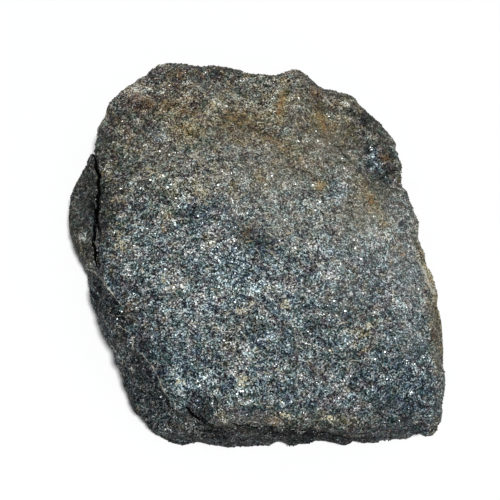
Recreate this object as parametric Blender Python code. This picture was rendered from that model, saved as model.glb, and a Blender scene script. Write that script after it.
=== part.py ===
"""Chromite ore: one hand-sized lump of massive granular chromite, broken from the seam.

The stone lies on its flattest side. +Z is up, +Y runs to its narrow upper end, and the origin is
under the middle of its bounding box, on the surface that it rests on.
"""

import bisect
import math

import bmesh
import bpy
from mathutils import Vector, noise

MM = 0.001

STONE_NAME = "chromite_ore"
CROWN_HEIGHT = 38.5 * MM  # highest point of the domed top face
CROWN_CURVE = 2.3  # how late the top face falls away: 1 is a cone, higher is flatter

# Corners of the widest outline, in millimetres: x, y and the height where the side is widest.
GIRTH_CORNERS = (
    (56.4, -0.7, 17), (54.7, 6.8, 18), (52.9, 14, 19), (50.3, 19.5, 20), (50.2, 24.5, 20),
    (50.6, 30.3, 20), (47.9, 38, 21), (42.2, 44.8, 22), (36.2, 50.2, 24), (32.8, 53.8, 24),
    (28, 54.4, 24), (22, 58.5, 24), (15.5, 63.1, 24), (11, 60.3, 24), (5.5, 59, 24),
    (-1.1, 60.6, 24), (-10.5, 63.2, 24), (-20.5, 64.4, 24), (-30, 63.3, 24), (-42.5, 55, 22),
    (-49, 49, 20), (-53.5, 36, 15), (-58.5, 23, 14), (-60.5, 13, 14), (-59, 7, 14),
    (-53.3, -6, 13), (-51, -16, 11), (-43, -35, 9), (-37, -50, 8), (-29.5, -57.5, 7),
    (-25, -59.3, 6), (-8, -60.7, 6), (19.5, -58.7, 6), (29.5, -59, 6), (40.5, -58.5, 7),
    (52.5, -58, 10), (58.8, -56, 11), (60.6, -50, 12), (61.5, -37, 13), (61.7, -27.7, 14),
    (61.6, -22, 15), (60.2, -17.1, 15), (58.5, -9.1, 16),
)

# Corners of the broken edge round the top face, in millimetres: x, y and height.
BROW_CORNERS = (
    (52.5, -1.5, 30), (50.5, 6.5, 30), (46.5, 15, 29), (42, 21, 26), (36, 26, 26), (32, 33, 27),
    (29, 41.5, 28), (25, 48, 29), (19.5, 51.5, 29), (12.5, 56, 29), (4.5, 53.5, 27),
    (-3, 55, 29), (-21.5, 58.5, 30), (-29.5, 57.5, 29), (-41.5, 49, 28), (-48.5, 38.5, 28),
    (-50, 31.5, 29), (-48.2, 19.5, 30), (-47.8, 11.7, 30), (-48.6, 3.7, 30), (-49.8, -5.5, 29),
    (-43.5, -23, 29), (-40, -31, 28), (-32, -42, 27), (-24.5, -50.5, 24), (-19.5, -54.5, 24),
    (-5.5, -57.5, 28), (10.5, -58, 28), (28.5, -58.5, 26), (46, -57.5, 25), (52, -55, 24.5),
    (55.5, -49, 25), (57, -39.5, 27), (57, -23, 28.5),
)

# How far the foot is drawn in under the widest outline, by the side's direction in degrees.
FOOT_INSETS = (
    (0, 3.5), (40, 6), (90, 7), (130, 5), (175, 3), (215, 3.5), (250, 1.5), (290, 1.5), (325, 3),
)
FOOT_BELLY = 1.2 * MM  # how far the side bulges on its way down to the foot

# Stations down a side, as a share of the way from the crown, over the edge, to the resting face.
CROWN, BROW, GIRTH, FOOT, SOLE = 0.0, 0.38, 0.63, 0.73, 1.0
SIDE_STATIONS = 6

# Plain side: how far it swells out between the edge and its widest place, and what share of that
# it swells upward too.
WALL_SWELL = (1.6 * MM, 0.6)

# Shelf: its arc of the outline in degrees (start, end, blend width), how far it stands over the
# widest outline, then its profile in millimetres, out from the top edge and up from the shelf.
# The two low points are the crevice that parts it from the top.
SHELF_ARC = (146, 185, 7)
SHELF_RISE = 4.5 * MM
SHELF_PROFILE = ((0.3, 2.0), (0.4, -5.0), (1.7, -4.6), (2.2, 0.4))

# Lip over the foot: its arc, then its profile. The lip is measured out and up from the top edge,
# the throat in from the nearer of edge and widest outline, the toe from the widest outline.
LIP_ARC = (243, 306, 8)
LIP_PROFILE = ((0.4, -3.0), (-0.3, -5.5))
THROAT = (-1.4, -8.5)
TOE = (-0.7, 5.5)

# Lumps and hollows of the top face, in millimetres: x, y, radius and height.
TOP_RELIEF = (
    (34, 14, 24, 1.8), (14, -22, 26, 1.2), (-22, 12, 24, 0.8), (-20, 47, 15, 1.2),
    (12, 51, 9, 1.6), (3.5, 52, 6, -1.8), (-3, 8, 8, -1.3), (-20, 17, 9, -0.9),
    (5, 3, 12, -0.8), (36, 36, 10, -2.2), (41, 27, 8, -2.4), (30, 44, 7, -1.5),
    (-18, -46, 8, -2.2), (-39, -15, 10, -1.1), (29, -40, 12, -0.9), (-40, 30, 10, -0.8),
    (44, -38, 14, 0.9), (-8, -36, 13, 0.9),
)
TOP_FADE = 0.04  # how near the edge that relief fades, as a share of the way round

# Curved steps on the top face, in millimetres: centre x, y, radius, start and end angle, drop.
TOP_STEPS = (
    (6, -48, 25, 55, 130, 0.9),
    (52, 52, 33, 190, 265, 1.7),
    (-60, 60, 46, 285, 345, 0.8),
)
STEP_WIDTH = 2.2
STEP_BLEND = 12  # degrees over which a step dies out at its ends

# Fracture planes that trim the sides: direction and tilt in degrees, then how far out, in
# millimetres, the plane meets the side at the height that comes last.
FRACTURE_PLANES = (
    (84, -9, 62, 20), (101, -25, 61.5, 11), (128, -13, 67.5, 18), (158, -15, 63.6, 13),
    (187, -30, 58, 7), (199, -17, 53.8, 8), (213, -27, 56.5, 5), (270, -16, 61.5, 3),
    (2, -8, 60.8, 11), (-10, -24, 61, 6), (16, -15, 51.5, 14), (27, -34, 50.5, 7),
    (37, -12, 56.5, 19), (49, -29, 57.5, 10), (63, -15, 61.3, 21), (-40, -22, 77.5, 6),
)
PLANE_SOFTNESS = 0.3 * MM

# Weathered relief over the whole stone, in millimetres: size of a form and how far it stands.
SWELLS = (24, 1.0)
RIPPLES = (8.5, 0.55)
RIPPLE_FLATS = 0.6  # share of the ripples kept on level ground; the sides add the rest
STEEP_GAIN = 1.25  # how soon a lean counts as steep
CREVICE_CALM = 0.5  # share of the relief that the crevice does without
GIRTH_CALM = 0.6  # share of the relief that the widest outline does without
GIRTH_BAND = 0.1  # how far up and down the side that reaches, as a share of the way round

# Chips in the top edge: size, how far they drop and cut in, and how readily the edge is chipped.
BROW_WEAR = (9, 2.2, 1.1)
BROW_WEAR_BIAS = 0.1
BROW_WEAR_REACH = 0.13  # how far the chips reach in from the edge, as a share of the top face

# Broken facets, each leaning its own way: size of a facet in millimetres and its steepest slope.
TOP_FACETS = (30, 0.055)
SIDE_FACETS = (16, 0.24)
SIDE_CHIPS = (7, 0.27)
FACET_EDGE = 0.15  # how far, as a share of a facet's size, its edges are worn
CELL_SCATTER = 37.0  # spreads neighbouring facets apart before each draws its lean

# The underside: size and depth of its hollows, its facets, and how far the ground cuts it off.
SOLE_HOLLOWS = (24, 6.0)
SOLE_FACETS = (22, 0.12)
SOLE_CUT = 0.3 * MM
SOLE_REACH = 3 * MM
SOLE_FADE = 2 * MM
SOLE_FLAT = 0.12 * MM  # points this near the ground lie on it

SEGMENTS, ROWS = 250, 160
SLICES = 90  # slices that are each held to the widest outline
SOFTEN_SHARE = 0.5
TRIANGLES = 9400
SHARP_ANGLE = 35


def clamp(value):
    return max(0.0, min(1.0, value))


def smoothstep(value):
    value = clamp(value)
    return value * value * (3 - 2 * value)


def rough(point, size, octaves):
    """Fractal noise whose largest forms are this many millimetres across."""
    return noise.fractal(point / (size * MM), 1.0, 2.0, octaves)


def ray(angle):
    """The level direction at this angle in radians."""
    return Vector((math.cos(angle), math.sin(angle), 0.0))


def turn_between(start, end, angle):
    """How far an angle is past start, in degrees, and how wide the arc is."""
    return (angle - start) % 360, (end - start) % 360


def arc_share(arc, angle):
    """1 inside an arc of the outline, falling smoothly to 0 over its blend width."""
    start, end, blend = arc
    along, width = turn_between(start - blend, end + blend, angle)
    if along > width:
        return 0.0
    return smoothstep(along / blend) * smoothstep((width - along) / blend)


class Outline:
    """A closed outline round the z axis, read by angle."""

    def __init__(self, corners):
        ordered = sorted(corners, key=lambda c: math.atan2(c[1], c[0]) % math.tau)
        self.corners = [Vector(c) * MM for c in ordered]
        self.angles = [math.atan2(c.y, c.x) % math.tau for c in self.corners]

    def at(self, angle):
        """Radius and height where the outline crosses the ray at this angle in radians."""
        after = bisect.bisect_right(self.angles, angle % math.tau) % len(self.corners)
        a, b = self.corners[after - 1], self.corners[after]
        toward = ray(angle).xy
        edge = b.xy - a.xy
        facing = toward.x * edge.y - toward.y * edge.x
        share = (a.y * toward.x - a.x * toward.y) / -facing
        return (a.xy + edge * share).dot(toward), a.z + (b.z - a.z) * share


def read_ring(table, angle):
    """A value listed by direction in degrees, read between two of its entries."""
    keys = [key for key, _ in table]
    after = bisect.bisect_right(keys, angle % 360) % len(table)
    (a, low), (b, high) = table[after - 1], table[after]
    along, width = turn_between(a, b, angle)
    return low + (high - low) * smoothstep(along / width)


def offset_from(origin, steps):
    """Points that lie these millimetres out and up from a (radius, height) point."""
    return [(origin[0] + out * MM, origin[1] + up * MM) for out, up in steps]


def wall_section(brow, girth):
    """A side that swells a little between the edge and its widest place."""
    points = []
    for step in range(SIDE_STATIONS):
        share = step / (SIDE_STATIONS - 1)
        swell = WALL_SWELL[0] * math.sin(math.pi * share)
        radius = brow[0] + (girth[0] - brow[0]) * share + swell
        height = brow[1] + (girth[1] - brow[1]) * share + WALL_SWELL[1] * swell
        points.append((radius, height))
    return points


def shelf_section(brow, girth):
    """A steep face, a narrow crevice at its foot and a sloping shelf outside it."""
    return [brow, *offset_from((brow[0], girth[1] + SHELF_RISE), SHELF_PROFILE), girth]


def lip_section(brow, girth):
    """A lip, the undercut beneath it and a foot that stands out below."""
    throat = offset_from((min(brow[0], girth[0]), brow[1]), [THROAT])
    return [brow, *offset_from(brow, LIP_PROFILE), *throat, *offset_from(girth, [TOE]), girth]


def mix_sections(first, second, share):
    return [
        (a[0] + (b[0] - a[0]) * share, a[1] + (b[1] - a[1]) * share)
        for a, b in zip(first, second)
    ]


def read_chain(points, share):
    """A point part of the way along a chain of (radius, height) points."""
    place = clamp(share) * (len(points) - 1)
    index = min(int(place), len(points) - 2)
    (r0, z0), (r1, z1) = points[index], points[index + 1]
    return r0 + (r1 - r0) * (place - index), z0 + (z1 - z0) * (place - index)


def chipped(angle, brow):
    """The top edge after its chips, as (radius, height)."""
    size, drop, bite = BROW_WEAR
    loss = MM * max(0.0, BROW_WEAR_BIAS + rough(ray(angle) * brow[0], size, 3))
    return brow[0] - bite * loss, brow[1] - drop * loss


def top_station(brow, edge, share):
    """A point of the domed top face, from the crown (0) to the edge (1)."""
    height = brow[1] + (CROWN_HEIGHT - brow[1]) * (1 - share**CROWN_CURVE)
    height -= (brow[1] - edge[1]) * smoothstep(1 - (1 - share) / BROW_WEAR_REACH)
    return edge[0] * share, height


def side_station(edge, girth, degrees, share):
    """A point of the side, from the edge of the top (0) to the widest outline (1)."""
    section = wall_section(edge, girth)
    section = mix_sections(section, shelf_section(edge, girth), arc_share(SHELF_ARC, degrees))
    section = mix_sections(section, lip_section(edge, girth), arc_share(LIP_ARC, degrees))
    return read_chain(section, share)


def foot_station(girth, foot, share):
    """A point under the widest outline (0), where the side turns in to the ground (1)."""
    belly = FOOT_BELLY * math.sin(math.pi * share)
    return girth[0] + (foot - girth[0]) * share + belly, girth[1] * (1 - share)


def stone_point(angle, travel, girth_line, brow_line):
    """A point of the plain form: a direction in radians, and 0 at the crown to 1 under it."""
    degrees = math.degrees(angle) % 360
    brow, girth = brow_line.at(angle), girth_line.at(angle)
    edge = chipped(angle, brow)
    foot = girth[0] - read_ring(FOOT_INSETS, degrees) * MM
    if travel < BROW:
        radius, height = top_station(brow, edge, (travel - CROWN) / (BROW - CROWN))
    elif travel < GIRTH:
        radius, height = side_station(edge, girth, degrees, (travel - BROW) / (GIRTH - BROW))
    elif travel < FOOT:
        radius, height = foot_station(girth, foot, (travel - GIRTH) / (FOOT - GIRTH))
    else:
        radius, height = foot * (SOLE - travel) / (SOLE - FOOT), 0.0
    return ray(angle) * radius + Vector((0, 0, height))


def top_relief(point):
    """Height that the lumps, hollows and steps add to the top face."""
    height = 0.0
    for x, y, size, rise in TOP_RELIEF:
        gap = math.hypot(point.x / MM - x, point.y / MM - y) / size
        height += rise * math.exp(-2 * gap * gap)
    for x, y, size, start, end, drop in TOP_STEPS:
        east, north = point.x / MM - x, point.y / MM - y
        inside = smoothstep((size - math.hypot(east, north)) / STEP_WIDTH + 0.5)
        turn = math.degrees(math.atan2(north, east))
        height -= drop * inside * arc_share((start, end, STEP_BLEND), turn)
    return height * MM


def facet_offset(point, size, slope):
    """How far the leaning facets of one size stand off the plain form here."""
    distances, centres = noise.voronoi(point / (size * MM))
    offset = total = 0.0
    for distance, centre in zip(distances, centres):
        share = smoothstep(1 - (distance - distances[0]) / FACET_EDGE)
        lean = noise.cell_vector(centre * CELL_SCATTER) * 2 - Vector((1, 1, 1))
        offset += share * slope * lean.dot(point - centre * (size * MM))
        total += share
    return offset / total


def relief(point, normal):
    """How far the weathered surface stands off the plain form here."""
    steepness = smoothstep(STEEP_GAIN * (1 - abs(normal.z)))
    offset = SWELLS[1] * MM * rough(point, SWELLS[0], 2)
    offset += RIPPLES[1] * MM * (RIPPLE_FLATS + steepness) * rough(point, RIPPLES[0], 3)
    offset += facet_offset(point, *TOP_FACETS)
    offset += steepness * (facet_offset(point, *SIDE_FACETS) + facet_offset(point, *SIDE_CHIPS))
    return offset


def calm_share(point, travel):
    """Share of the relief kept here: less at the crevice and along the widest outline."""
    kept = 1 - GIRTH_CALM * smoothstep(1 - abs(travel - GIRTH) / GIRTH_BAND)
    if BROW < travel < GIRTH:
        depth = math.sin(math.pi * (travel - BROW) / (GIRTH - BROW))
        angle = math.degrees(math.atan2(point.y, point.x))
        kept *= 1 - CREVICE_CALM * depth * arc_share(SHELF_ARC, angle)
    return kept


def trim(point):
    """Pulls a point that is past a fracture plane back to it."""
    for direction, tilt, reach, height in FRACTURE_PLANES:
        outward, lean = ray(math.radians(direction)), math.radians(tilt)
        normal = outward * math.cos(lean) + Vector((0, 0, math.sin(lean)))
        past = (point - (outward * reach + Vector((0, 0, height))) * MM).dot(normal)
        if past > PLANE_SOFTNESS:
            point = point - normal * past
        elif past > -PLANE_SOFTNESS:
            point = point - normal * ((past + PLANE_SOFTNESS) ** 2 / (4 * PLANE_SOFTNESS))
    return point


def slice_place(vertex):
    """Where a point lies among the slices round the stone, counted from the x axis."""
    return math.atan2(vertex.co.y, vertex.co.x) % math.tau / math.tau * SLICES


def hold_outline(vertices, girth_line):
    """Spreads or draws in each slice of the stone until it just reaches the widest outline."""
    reaches = [0.0] * SLICES
    for vertex in vertices:
        index = int(slice_place(vertex)) % SLICES
        reaches[index] = max(reaches[index], vertex.co.xy.length)
    stretches = [
        girth_line.at((index + 0.5) / SLICES * math.tau)[0] / reach
        for index, reach in enumerate(reaches)
    ]
    for vertex in vertices:
        place = slice_place(vertex) - 0.5
        index = math.floor(place)
        near, far = stretches[index % SLICES], stretches[(index + 1) % SLICES]
        stretch = near + (far - near) * (place - index)
        outline = girth_line.at((place + 0.5) / SLICES * math.tau)[0]
        share = smoothstep(2 * vertex.co.xy.length / outline - 1)
        vertex.co.x *= 1 + (stretch - 1) * share
        vertex.co.y *= 1 + (stretch - 1) * share


def weather(vertices, travels):
    """Moves each point of the plain form out or in by the weathered relief."""
    offsets = [
        relief(vertex.co, vertex.normal) * calm_share(vertex.co, travel)
        for vertex, travel in zip(vertices, travels)
    ]
    for vertex, offset in zip(vertices, offsets):
        vertex.co += vertex.normal * offset


def rest_on_sole(vertices):
    """Hollows the underside and cuts it flat where it touches the ground."""
    size, rise = SOLE_HOLLOWS
    for vertex in vertices:
        if vertex.co.z < SOLE_REACH:
            hollow = rise * MM * rough(vertex.co, size, 3) + facet_offset(vertex.co, *SOLE_FACETS)
            fade = smoothstep((SOLE_REACH - vertex.co.z) / SOLE_FADE)
            vertex.co.z = max(0.0, vertex.co.z + fade * (hollow - SOLE_CUT))


def soften(stone):
    """Takes the harshest points off the surface."""
    axes = {"use_axis_x": True, "use_axis_y": True, "use_axis_z": True}
    bmesh.ops.smooth_vert(stone, verts=stone.verts, factor=SOFTEN_SHARE, **axes)


def ball_mesh(name):
    """A unit ball of rings and segments in triangles, always in the same order."""
    points = [(0.0, 0.0, 1.0)]
    for row in range(1, ROWS):
        tilt = math.pi * row / ROWS
        for step in range(SEGMENTS):
            level = ray(math.tau * step / SEGMENTS) * math.sin(tilt)
            points.append((level.x, level.y, math.cos(tilt)))
    points.append((0.0, 0.0, -1.0))
    last = len(points) - 1
    faces = []
    for step in range(SEGMENTS):
        after = (step + 1) % SEGMENTS
        faces.append((0, 1 + step, 1 + after))
        for ring in range(1, 1 + (ROWS - 2) * SEGMENTS, SEGMENTS):
            a, b, c, d = ring + step, ring + SEGMENTS + step, ring + SEGMENTS + after, ring + after
            faces.extend([(a, b, c), (a, c, d)])
        faces.append((last, last - SEGMENTS + after, last - SEGMENTS + step))
    mesh = bpy.data.meshes.new(name)
    mesh.from_pydata(points, [], faces)
    return mesh


def shape_stone(mesh):
    """Turns a unit ball into the stone."""
    girth_line, brow_line = Outline(GIRTH_CORNERS), Outline(BROW_CORNERS)
    stone = bmesh.new()
    stone.from_mesh(mesh)
    travels = [math.acos(max(-1.0, min(1.0, vertex.co.z))) / math.pi for vertex in stone.verts]
    for vertex, travel in zip(stone.verts, travels):
        angle = math.atan2(vertex.co.y, vertex.co.x)
        vertex.co = stone_point(angle, travel, girth_line, brow_line)
        if travel < BROW:
            vertex.co.z += top_relief(vertex.co) * smoothstep((BROW - travel) / TOP_FADE)
        vertex.co = trim(vertex.co)
    stone.normal_update()
    weather(stone.verts, travels)
    hold_outline(stone.verts, girth_line)
    soften(stone)
    rest_on_sole(stone.verts)
    stone.to_mesh(mesh)
    stone.free()


def chromite_material():
    """Dark iron-grey ore with a dull metallic lustre."""
    material = bpy.data.materials.new("chromite")
    material.use_nodes = True
    shader = material.node_tree.nodes["Principled BSDF"]
    shader.inputs["Base Color"].default_value = (0.11, 0.115, 0.11, 1.0)
    shader.inputs["Roughness"].default_value = 0.55
    shader.inputs["Metallic"].default_value = 0.25
    return material


def thinned(source, triangles):
    """A copy of the object's mesh with about this many triangles."""
    thin = source.modifiers.new("Decimate", "DECIMATE")
    thin.ratio = triangles / len(source.data.polygons)
    graph = bpy.context.evaluated_depsgraph_get()
    mesh = bpy.data.meshes.new_from_object(source.evaluated_get(graph))
    source.modifiers.clear()
    return mesh


def set_on_ground(mesh):
    """Centres the mesh on the origin and lays the points of its resting face on the ground."""
    middles = [
        (min(places) + max(places)) / 2
        for places in ([vertex.co[axis] for vertex in mesh.vertices] for axis in (0, 1))
    ]
    for vertex in mesh.vertices:
        vertex.co.x -= middles[0]
        vertex.co.y -= middles[1]
        if vertex.co.z < SOLE_FLAT:
            vertex.co.z = 0.0


def clear_scene():
    for obj in list(bpy.data.objects):
        bpy.data.objects.remove(obj)


def main():
    clear_scene()
    collection = bpy.data.collections.new("chromite_ore_specimen")
    bpy.context.scene.collection.children.link(collection)
    mesh = ball_mesh(STONE_NAME)
    shape_stone(mesh)
    stone = bpy.data.objects.new(STONE_NAME, mesh)
    collection.objects.link(stone)
    stone.data = thinned(stone, TRIANGLES)
    set_on_ground(stone.data)
    stone.data.materials.append(chromite_material())
    stone.data.shade_smooth()
    stone.data.set_sharp_from_angle(angle=math.radians(SHARP_ANGLE))


main()
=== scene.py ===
# Chromite ore: a broken, hand-sized lump of massive granular chromite, lying on a pale floor.
import math

import bmesh
import bpy
import numpy as np
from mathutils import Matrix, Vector


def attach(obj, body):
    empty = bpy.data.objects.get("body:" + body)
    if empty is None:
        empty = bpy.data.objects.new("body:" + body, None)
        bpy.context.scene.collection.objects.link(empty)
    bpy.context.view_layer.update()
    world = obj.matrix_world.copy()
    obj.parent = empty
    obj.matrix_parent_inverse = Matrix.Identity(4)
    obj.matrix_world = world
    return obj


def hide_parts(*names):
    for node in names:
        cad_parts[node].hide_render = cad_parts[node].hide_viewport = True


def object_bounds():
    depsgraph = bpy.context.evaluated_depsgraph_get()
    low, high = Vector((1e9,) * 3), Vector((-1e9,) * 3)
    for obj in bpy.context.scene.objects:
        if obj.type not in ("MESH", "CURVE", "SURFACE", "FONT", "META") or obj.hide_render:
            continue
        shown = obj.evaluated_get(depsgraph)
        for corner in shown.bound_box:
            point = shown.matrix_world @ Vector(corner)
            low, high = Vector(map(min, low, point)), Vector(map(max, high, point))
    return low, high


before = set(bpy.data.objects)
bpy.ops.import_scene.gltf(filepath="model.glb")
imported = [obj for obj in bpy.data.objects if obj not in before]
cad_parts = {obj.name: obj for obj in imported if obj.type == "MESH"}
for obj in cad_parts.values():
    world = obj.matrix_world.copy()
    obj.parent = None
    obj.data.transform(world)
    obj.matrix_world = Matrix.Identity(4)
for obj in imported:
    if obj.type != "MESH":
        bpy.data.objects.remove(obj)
cadBox = [list(corner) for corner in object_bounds()]
mm = 0.001
print("stage: solid loaded, box", cadBox)


class Wire:  # a node's output that can be used in a sum
    def __init__(self, net, socket):
        self.net, self.socket = net, socket

    def __add__(self, other):
        return self.net.sum("ADD", self, other)

    def __radd__(self, other):
        return self.net.sum("ADD", other, self)

    def __sub__(self, other):
        return self.net.sum("SUBTRACT", self, other)

    def __rsub__(self, other):
        return self.net.sum("SUBTRACT", other, self)

    def __mul__(self, other):
        return self.net.sum("MULTIPLY", self, other)

    def __rmul__(self, other):
        return self.net.sum("MULTIPLY", other, self)

    def __rtruediv__(self, other):
        return self.net.sum("DIVIDE", other, self)


class Net:  # a shader or geometry tree that is being filled
    def __init__(self, tree):
        self.tree = tree
        tree.nodes.clear()

    def place(self, kind, settings=None, sockets=None):  # the settings come first, as they change the sockets
        node = self.tree.nodes.new(kind)
        for name, value in (settings or {}).items():
            if name == "stops":
                self.fillRamp(node.color_ramp, value)
            else:
                setattr(node, name, value)
        for key, value in (sockets or {}).items():
            if isinstance(value, Wire):
                self.tree.links.new(value.socket, node.inputs[key])
            else:
                node.inputs[key].default_value = value
        return node

    def fillRamp(self, ramp, stops):
        while len(ramp.elements) < len(stops):
            ramp.elements.new(0.5)
        for element, (position, tone) in zip(ramp.elements, stops):
            element.position, element.color = position, (*tone, 1.0)

    def wire(self, kind, settings=None, sockets=None, out=0):
        return Wire(self, self.place(kind, settings, sockets).outputs[out])

    def sum(self, operation, *values):
        return self.wire("ShaderNodeMath", {"operation": operation}, dict(enumerate(values)))

    def vector(self, operation, *values):
        return self.wire("ShaderNodeVectorMath", {"operation": operation}, dict(enumerate(values)))

    def scaled(self, vector, factor):
        return self.wire("ShaderNodeVectorMath", {"operation": "SCALE"}, {0: vector, "Scale": factor})

    def absolute(self, value):
        return self.sum("ABSOLUTE", value)

    def step(self, value, low, high):  # 0 below low, 1 above high, smooth between
        return self.wire("ShaderNodeMapRange", {"interpolation_type": "SMOOTHSTEP"},
                         {"Value": value, "From Min": low, "From Max": high})

    def fall(self, value, low, high):  # 1 below low, 0 above high
        return 1.0 - self.step(value, low, high)

    def mix(self, factor, first, second, blend="MIX"):
        tones = [(*tone, 1.0) if isinstance(tone, tuple) else tone for tone in (first, second)]
        return self.wire("ShaderNodeMix", {"data_type": "RGBA", "blend_type": blend},
                         {0: factor, 6: tones[0], 7: tones[1]}, out=2)

    def tinted(self, colour, tint):
        return self.mix(1.0, colour, tint, "MULTIPLY")

    def ramp(self, value, stops):
        return self.wire("ShaderNodeValToRGB", {"stops": stops}, {"Fac": value})

    def noise(self, place, size, detail=2.0):  # 0 to 1, with forms about size across
        return self.wire("ShaderNodeTexNoise", None, {"Vector": place, "Scale": 1 / size, "Detail": detail})

    def cells(self, place, size):  # a colour of its own for each cell about size across
        return self.wire("ShaderNodeTexVoronoi", None, {"Vector": place, "Scale": 1 / size}, out="Color")

    def shifted(self, place, shift):
        return self.vector("ADD", place, shift)

    def parts(self, colour):  # red, green and blue
        node = self.place("ShaderNodeSeparateColor", None, {0: colour})
        return [Wire(self, node.outputs[index]) for index in range(3)]

    def field(self, name, out="Fac"):  # a value that the mesh carries
        if self.tree.bl_idname == "GeometryNodeTree":
            return self.wire("GeometryNodeInputNamedAttribute", {"data_type": "FLOAT"}, {"Name": name})
        return self.wire("ShaderNodeAttribute", {"attribute_name": name}, out=out)

    def open(self, floats, whole=()):  # the tree's own inputs, as wires by name
        for side in ("INPUT", "OUTPUT"):
            self.tree.interface.new_socket("Geometry", in_out=side, socket_type="NodeSocketGeometry")
        for names, kind in ((floats, "NodeSocketFloat"), (whole, "NodeSocketInt")):
            for name in names:
                self.tree.interface.new_socket(name, in_out="INPUT", socket_type=kind)
        node = self.place("NodeGroupInput")
        return {socket.name: Wire(self, socket) for socket in node.outputs if socket.name}

    def close(self, geometry):
        self.place("NodeGroupOutput", None, {"Geometry": geometry})
        return self.tree


def swing(value):  # a value of 0 to 1, measured from its middle
    return value - 0.5


# The stone's drawing is a flat sheet that places its cracks, veins and stains. A point of the sheet is
# in millimetres, and is carried to the stone along lines that spread from one fixed point above it.
drawing = {
    "lean": 73.0,                  # how steeply the lines come down, in degrees
    "reach": 0.3795,               # from the fixed point to the sheet's middle, in metres
    "middle": (0.0, 0.0, 0.02),
    "spotFall": 0.9,               # how fast a spot fades outwards
    "farAway": 1e9,                # a distance past everything
    "lineReach": 99.0,             # half widths past which a line isn't felt
    # Drawn lines wander in waves: size, how fast it runs along and across the line's place, and its start.
    "acrossWaves": [(0.26, 1.3, 0.5, 0.0), (0.10, 3.7, -1.1, 1.0)],
    "alongWaves": [(0.26, 1.2, -0.4, 2.0), (0.10, 3.3, 1.3, 0.0)],
    # How far a face has to look towards the fixed point before it starts, and fully, takes part.
    "seenFrom": (0.0, 0.25), "cutFrom": (-0.5, -0.2), "crackedFrom": (-0.6, -0.3),
}


def drawingAxes():
    lean = math.radians(drawing["lean"])
    toward = np.array((0.0, -math.cos(lean), math.sin(lean)))
    upward = np.array((0.0, math.sin(lean), math.cos(lean)))
    return toward, upward


def ontoSheet(points):  # where points of the stone fall on the sheet, in millimetres
    toward, upward = drawingAxes()
    offset = points - np.array(drawing["middle"])
    share = drawing["reach"] / (drawing["reach"] - offset @ toward)
    return np.stack((offset[:, 0] * share, (offset @ upward) * share), axis=1) / mm


def smoothStep(values, low, high):
    share = np.clip((values - low) / (high - low), 0, 1)
    return share * share * (3 - 2 * share)


def spotField(sheet, spots):  # 1 in the middle of a spot, falling to 0 outside it
    field = np.zeros(len(sheet))
    for across, along, long, short, turn, strength in spots:
        angle = math.radians(turn)
        x, y = sheet[:, 0] - across, sheet[:, 1] - along
        u = (x * math.cos(angle) + y * math.sin(angle)) / long
        v = (y * math.cos(angle) - x * math.sin(angle)) / short
        field = np.maximum(field, strength * np.exp(-drawing["spotFall"] * (u * u + v * v)))
    return field


def lineSide(sheet, route, openEnds=False):  # distance from a route, above 0 on its left
    farAway = drawing["farAway"]
    best = np.full(len(sheet), farAway)
    side = np.zeros(len(sheet))
    corners = np.array(route, float)
    for index, (start, end) in enumerate(zip(corners, corners[1:])):
        run = end - start
        low = -farAway if openEnds and index == 0 else 0.0
        high = farAway if openEnds and index == len(corners) - 2 else 1.0
        share = np.clip(((sheet - start) @ run) / (run @ run), low, high)
        gap = sheet - start - share[:, None] * run
        far = np.hypot(gap[:, 0], gap[:, 1])
        turn = run[0] * (sheet[:, 1] - start[1]) - run[1] * (sheet[:, 0] - start[0])
        nearer = far < best
        best[nearer] = far[nearer]
        side[nearer] = np.sign(turn[nearer])
    return best * side


def linesField(sheet, lines):  # distance from the nearest line in half widths, with its side's sign
    best = np.full(len(sheet), drawing["lineReach"])
    for route, halfWidth in lines:
        side = lineSide(sheet, route) / halfWidth
        nearer = np.abs(side) < np.abs(best)
        best[nearer] = side[nearer]
    return best


def waver(sheet):  # lets the drawn lines wander a little, as a break does
    def wave(waves, own, other):
        return sum(size * np.sin(quick * own + slant * other + start) for size, quick, slant, start in waves)

    x, y = sheet[:, 0], sheet[:, 1]
    return sheet + np.stack((wave(drawing["acrossWaves"], y, x), wave(drawing["alongWaves"], x, y)), axis=1)


def readArray(items, name, width):
    values = np.empty(len(items) * width, np.float32)
    items.foreach_get(name, values)
    return values.reshape(-1, width).astype(float)


def facing(mesh, limits):  # 1 where the surface faces the drawing's fixed point
    normals = readArray(mesh.vertex_normals, "vector", 3)
    return smoothStep(normals @ drawingAxes()[0], *limits)


def storeField(mesh, name, values):
    field = mesh.attributes.get(name) or mesh.attributes.new(name, "FLOAT", "POINT")
    field.data.foreach_set("value", np.asarray(values, np.float32))


def baked(obj):  # the plain mesh that the object's modifiers make
    graph = bpy.context.evaluated_depsgraph_get()
    mesh = bpy.data.meshes.new_from_object(obj.evaluated_get(graph))
    obj.modifiers.clear()
    return mesh


def addNodes(obj, tree, values):  # a modifier whose inputs are given by their names
    modifier = obj.modifiers.new(tree.name, "NODES")
    modifier.node_group = tree
    for item in tree.interface.items_tree:
        if item.in_out == "INPUT" and item.name in values:
            modifier[item.identifier] = values[item.name]


def keepInBox(mesh):
    points = np.clip(readArray(mesh.vertices, "co", 3), cadBox[0], cadBox[1])
    mesh.vertices.foreach_set("co", points.astype(np.float32).ravel())
    mesh.update()


def addObject(name, content):
    obj = bpy.data.objects.new(name, content)
    bpy.context.scene.collection.objects.link(obj)
    return obj


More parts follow.
